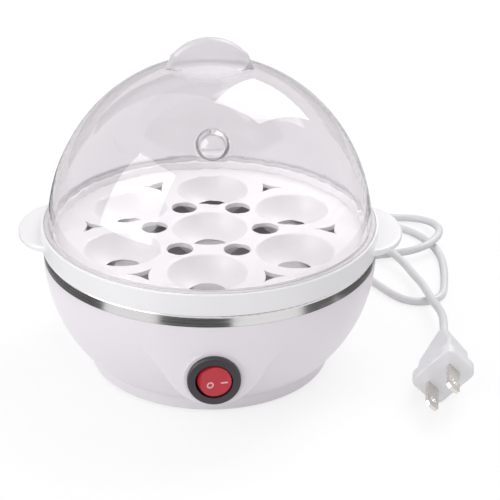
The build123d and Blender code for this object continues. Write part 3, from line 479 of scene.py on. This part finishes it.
floor_half = 6.0
floor_paint = bpy.data.materials.new("floor_paint")
floor_paint.use_nodes = True
floor_tree = floor_paint.node_tree
floor_tree.nodes.remove(floor_tree.nodes["Principled BSDF"])
floor_plain = floor_tree.nodes.new("ShaderNodeBsdfDiffuse")
floor_plain.inputs["Color"].default_value = (0.84, 0.835, 0.84, 1)
floor_shade = floor_tree.nodes.new("ShaderNodeBsdfDiffuse")
floor_shade.inputs["Color"].default_value = (0.27, 0.27, 0.27, 1)
floor_glow = floor_tree.nodes.new("ShaderNodeEmission")
floor_glow.inputs["Color"].default_value = (1, 0.995, 1, 1)
floor_glow.inputs["Strength"].default_value = 0.745
floor_seen = floor_tree.nodes.new("ShaderNodeAddShader")
floor_tree.links.new(floor_shade.outputs["BSDF"], floor_seen.inputs[0])
floor_tree.links.new(floor_glow.outputs["Emission"], floor_seen.inputs[1])
seen_or_plain(floor_tree, floor_seen.outputs["Shader"], floor_plain.outputs["BSDF"],
              floor_tree.nodes["Material Output"].inputs["Surface"])
floor = surface("floor", [(-floor_half, -floor_half, 0), (floor_half, -floor_half, 0),
                          (floor_half, floor_half, 0), (-floor_half, floor_half, 0)], [(0, 1, 2, 3)], floor_paint)

# Room: an even pale light from all round, as pale walls give it,
# and plain white where it is seen behind the object, in it or through it.
world = bpy.data.worlds.new("room")
bpy.context.scene.world = world
world.use_nodes = True
world_tree = world.node_tree
room_light = world_tree.nodes["Background"]
room_light.inputs["Color"].default_value = (0.98, 0.97, 1.0, 1)
room_light.inputs["Strength"].default_value = 0.74
room_white = world_tree.nodes.new("ShaderNodeBackground")
room_white.inputs["Color"].default_value = (1, 1, 1, 1)
room_white.inputs["Strength"].default_value = 1
seen_or_plain(world_tree, room_white.outputs["Background"], room_light.outputs["Background"],
              world_tree.nodes["World Output"].inputs["Surface"])


# Softboxes: one low on the left and one high at the right rear. Each is an even rectangle of cloth; the
# lamp behind it gives the light, and the cloth is what the lid and the plastic mirror.
def glossy_only(card):
    """Stage card that shows in reflections and sheds no light and no shadow."""
    card.visible_camera = False
    card.visible_diffuse = False
    card.visible_transmission = False
    card.visible_shadow = False


def flat_card(name, corners, paint):
    """Four-cornered sheet that only glossy rays meet."""
    glossy_only(surface(name, corners, [(0, 1, 2, 3)], paint))


def softbox(name, centre, wide, tall, power, cloth_strength):
    """Area lamp spanned by two half-edge vectors, with its cloth as a card of the same size."""
    middle, wide, tall = Vector(centre), Vector(wide), Vector(tall)
    facing = wide.cross(tall).normalized()
    if facing.dot(middle) < 0:
        facing = -facing
    lamp = bpy.data.lights.new(name, "AREA")
    lamp.shape = "RECTANGLE"
    lamp.size = 2 * wide.length
    lamp.size_y = 2 * tall.length
    lamp.energy = power
    lamp_object = bpy.data.objects.new(name, lamp)
    lamp_object.location = middle
    lamp_object.rotation_euler = facing.to_track_quat("Z", "Y").to_euler()
    lamp_object.visible_glossy = False
    collection.objects.link(lamp_object)
    cloth_paint = bpy.data.materials.new(name + "_cloth")
    cloth_paint.use_nodes = True
    cloth_tree = cloth_paint.node_tree
    cloth_tree.nodes.remove(cloth_tree.nodes["Principled BSDF"])
    glow = cloth_tree.nodes.new("ShaderNodeEmission")
    glow.inputs["Strength"].default_value = cloth_strength
    cloth_tree.links.new(glow.outputs["Emission"], cloth_tree.nodes["Material Output"].inputs["Surface"])
    corners = [middle + wide + tall, middle - wide + tall, middle - wide - tall, middle + wide - tall]
    flat_card(name + "_cloth", [tuple(corner) for corner in corners], cloth_paint)


softbox("softbox_right", (0.55, 0.62, 1.10), (0.29, -0.135, -0.10), (0.17, 0.35, -0.31),
        power=5.5, cloth_strength=6.0)
softbox("softbox_left", (-0.97, -0.56, 0.70), (0.24, -0.38, 0.02), (0.09, 0.03, 0.55),
        power=5.0, cloth_strength=5.1)

# Dark cards: black sheets on the table in front and at both sides, set where a photographer lays black paper, but
# seen only by glossy rays: painted dark reflections that draw dark bands along bright metal.
card_points = 24
card_height = 0.001
card_near, card_far = 0.14, 0.29
# Black of the painted dark reflections, on the dark cards and on the ceiling sheet.
painted_reflection_black = principled("painted_reflection_black", (0.03, 0.03, 0.03), 0.9)


def dark_card(name, start, end):
    """Flat sector of a ring round the axis between two azimuths, counted from the front to the right."""
    turns = np.radians(np.linspace(start, end, card_points))
    arcs = [np.stack([reach * np.sin(turns), -reach * np.cos(turns), np.full(card_points, card_height)], axis=1)
            for reach in (card_far, card_near)]
    glossy_only(woven(name, arcs, False, painted_reflection_black))


dark_card("card_front", -28, 10)
dark_card("card_right", 50, 140)
dark_card("card_left", -160, -61)

# Grey cards: glowing grey sheets low behind the object, lying on the table and standing at its far end, and a
# black sheet above the backdrop. Only glossy rays see them, so they are painted reflections: they draw the grey
# rim of the clear dome and the dusky patch near its top.
screen_half = 1.3
screen_near, screen_far = 0.10, 1.25
screen_foot, screen_top = 0.0008, 0.45
ceiling_height = 2.0
painted_reflection_tint = (1, 0.985, 1, 1)
# Glowing sheets with no lamp behind them: painted grey reflections in the clear dome.
painted_reflection_grey = principled("painted_reflection_grey", (0, 0, 0), 1.0, Emission_Color=painted_reflection_tint, Emission_Strength=0.64)
painted_reflection_dusk = principled("painted_reflection_dusk", (0, 0, 0), 1.0, Emission_Color=painted_reflection_tint, Emission_Strength=0.42)
for screen_paint in (painted_reflection_grey, painted_reflection_dusk):
    screen_paint.cycles.emission_sampling = "NONE"
flat_card("screen_floor", [(-screen_half, screen_near, screen_foot), (screen_half, screen_near, screen_foot),
                           (screen_half, screen_far, screen_foot), (-screen_half, screen_far, screen_foot)],
          painted_reflection_grey)
flat_card("screen_upright", [(-screen_half, screen_far, screen_foot), (screen_half, screen_far, screen_foot),
                             (screen_half, screen_far, screen_top), (-screen_half, screen_far, screen_top)],
          painted_reflection_dusk)
flat_card("ceiling", [(0.2, 0.55, ceiling_height), (0.35, 2.3, ceiling_height),
                      (-5.5, 7.5, ceiling_height), (-5.5, 5.0, ceiling_height)], painted_reflection_black)
